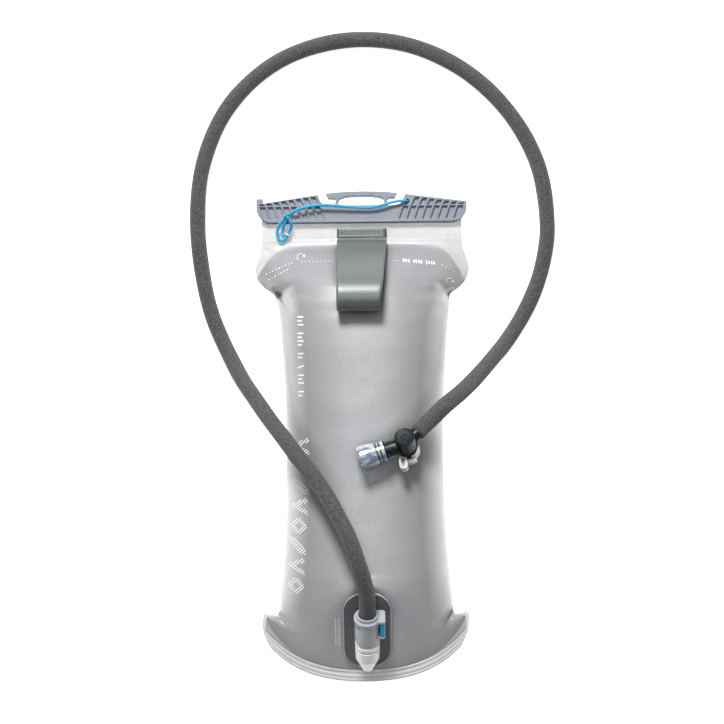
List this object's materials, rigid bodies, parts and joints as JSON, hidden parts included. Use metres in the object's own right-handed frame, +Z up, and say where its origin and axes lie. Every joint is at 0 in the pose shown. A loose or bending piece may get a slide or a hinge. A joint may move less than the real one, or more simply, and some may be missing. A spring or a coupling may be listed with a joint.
{
  "type": "hydration bladder",
  "caption": "Filled drinking-water bladder lying on its back, with a slide-off top closure, handle, hang loop, plug-in insulated hose and a bite valve with shut-off lever.",
  "frame": {"origin": "on the surface it lies on, under the middle of the bladder (hose and tether left out)", "axes": "+Z up from the surface, +Y toward the slide closure, +X to the right as seen from above"},
  "size_m": [0.2882, 0.5073, 0.1087],
  "materials": {
    "film_grey": "grey translucent film, satin",
    "rail_clear": "clear welded strip",
    "slider_grey": "satin moulded",
    "webbing_green_grey": "twill webbing",
    "clear_plastic": "clear",
    "cord_blue": "braided cord",
    "port_plate_grey": "satin",
    "frosted_plastic": "frosted",
    "poppet_white": "moulded",
    "spring_steel": "drawn wire",
    "seal_rubber": "moulded",
    "coupler_grey": "satin moulded",
    "button_blue": "moulded",
    "drink_tube": "clear tube",
    "sleeve_neoprene": "knitted neoprene",
    "valve_black": "satin moulded",
    "lever_white": "moulded translucent",
    "bite_silicone": "clear silicone"
  },
  "bodies": {
    "reservoir": {"reservoir_film": "film_grey", "mouth_rail_front": "rail_clear", "mouth_rail_back": "rail_clear", "hang_loop_tail": "webbing_green_grey", "tether_lug": "clear_plastic", "tether_knot": "cord_blue", "tether_loop": "cord_blue", "tether_tail": "cord_blue", "port_plate": "port_plate_grey", "port_weld_rim": "rail_clear", "port_body": "frosted_plastic", "poppet_seat": "seal_rubber"},
    "slider": {"slider_bar": "slider_grey", "tether_cord": "cord_blue", "tether_stopper": "cord_blue"},
    "hang_loop": {"hang_loop": "webbing_green_grey"},
    "poppet": {"port_poppet": "poppet_white", "poppet_spring": "spring_steel"},
    "coupler": {"coupler_body": "coupler_grey", "coupler_seal": "seal_rubber", "hose_barb": "valve_black", "hose_sleeve": "sleeve_neoprene", "drink_tube": "drink_tube", "valve_body": "valve_black", "valve_cap": "valve_black"},
    "button": {"release_button": "button_blue", "button_spring": "spring_steel"},
    "shutoff": {"valve_spool": "poppet_white", "spool_seal": "seal_rubber", "shutoff_lever": "lever_white"},
    "mouthpiece": {"mouthpiece_stem": "valve_black", "bite_sheath": "bite_silicone"}
  },
  "joints": [
    {"name": "closure_slide", "type": "slide", "parent": "reservoir", "child": "slider", "axis": [-1, 0, 0], "range_m": [0, 0.165], "deforming": ["tether_cord"]},
    {"name": "hang_loop_fold", "type": "hinge", "parent": "reservoir", "child": "hang_loop", "pos_m": [0, 0.1509, 0.0384], "axis": [-1, 0, 0], "range_deg": [0, 85]},
    {"name": "coupler_pull", "type": "slide", "parent": "reservoir", "child": "coupler", "axis": [0, 0.8387, 0.5446], "range_m": [0, 0.018]},
    {"name": "poppet_travel", "type": "slide", "parent": "reservoir", "child": "poppet", "axis": [0, 0.8387, 0.5446], "range_m": [0, 0.0022], "deforming": ["poppet_spring"]},
    {"name": "button_press", "type": "slide", "parent": "coupler", "child": "button", "axis": [-1, 0, 0], "range_m": [0, 0.0015], "stiffness_N_per_m": 600, "springref_m": -0.002, "deforming": ["button_spring"]},
    {"name": "shutoff_turn", "type": "hinge", "parent": "coupler", "child": "shutoff", "pos_m": [0.0308, -0.0022, 0.0888], "axis": [-0.154, 0.5239, 0.8378], "range_deg": [0, 90]},
    {"name": "mouthpiece_twist", "type": "hinge", "parent": "coupler", "child": "mouthpiece", "pos_m": [0.01936, -0.00583, 0.08896], "axis": [-0.9532, -0.3021, 0.0137], "continuous": true}
  ],
  "couplings": [
    {"joint": "poppet_travel", "follows": "coupler_pull", "ratio": 0.12}
  ]
}
